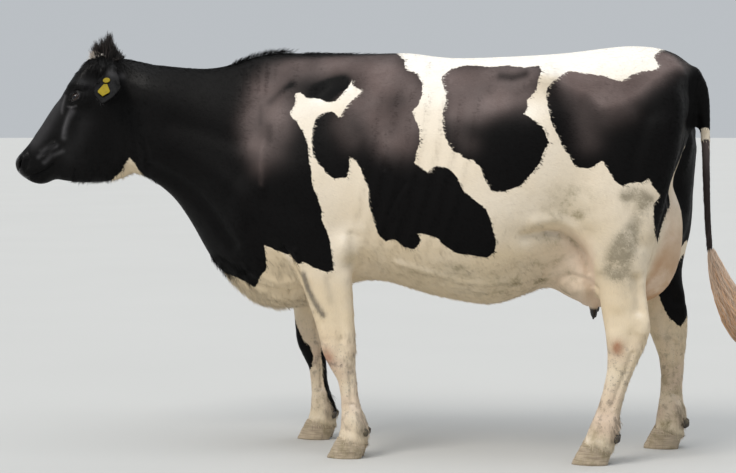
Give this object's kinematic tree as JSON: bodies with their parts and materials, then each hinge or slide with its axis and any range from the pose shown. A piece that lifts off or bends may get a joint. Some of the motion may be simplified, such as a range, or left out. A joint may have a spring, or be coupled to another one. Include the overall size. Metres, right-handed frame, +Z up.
{
  "type": "holstein-friesian dairy cow, still model",
  "caption": "Life-size still model of a standing black-and-white Holstein-Friesian dairy cow, head held low and forward, with a yellow tag in each ear.",
  "frame": {"origin": "middle of the bounding box at the floor, between the four feet", "axes": "+X from head to tail, +Y from the cow's left side to her right side, +Z up"},
  "size_m": [2.7448, 0.6656, 1.5099],
  "materials": {
    "hide": "short glossy hair, black with cream-white areas",
    "udder_skin": "soft, thinly haired pink skin",
    "teat_skin": "bare wrinkled dark skin",
    "switch_hair": "long coarse hair, cream, stained brown toward the tip",
    "poll_hair": "long dark hair in loose locks",
    "claw_horn": "dull ridged horn",
    "dewclaw_horn": "dull dark horn",
    "eye": "wet, dark brown, glossy",
    "tag": "moulded yellow plastic, satin"
  },
  "bodies": {
    "root": {"claw_fore_left_inner": "claw_horn", "claw_fore_left_outer": "claw_horn", "claw_fore_right_inner": "claw_horn", "claw_fore_right_outer": "claw_horn", "claw_hind_left_inner": "claw_horn", "claw_hind_left_outer": "claw_horn", "claw_hind_right_inner": "claw_horn", "claw_hind_right_outer": "claw_horn", "dewclaw_fore_left_inner": "dewclaw_horn", "dewclaw_fore_left_outer": "dewclaw_horn", "dewclaw_fore_right_inner": "dewclaw_horn", "dewclaw_fore_right_outer": "dewclaw_horn", "dewclaw_hind_left_inner": "dewclaw_horn", "dewclaw_hind_left_outer": "dewclaw_horn", "dewclaw_hind_right_inner": "dewclaw_horn", "dewclaw_hind_right_outer": "dewclaw_horn", "ear_left": "hide", "ear_right": "hide", "ear_tag_button_left": "tag", "ear_tag_button_right": "tag", "ear_tag_plate_left": "tag", "ear_tag_plate_right": "tag", "eye_left": "eye", "eye_right": "eye", "foreleg_left": "hide", "foreleg_right": "hide", "head": "hide", "hindleg_left": "hide", "hindleg_right": "hide", "neck": "hide", "poll_tuft": "poll_hair", "tail": "hide", "tail_switch": "switch_hair", "teat_front_left": "teat_skin", "teat_front_right": "teat_skin", "teat_rear_left": "teat_skin", "teat_rear_right": "teat_skin", "trunk": "hide", "udder": "udder_skin"}
  },
  "joints": []
}
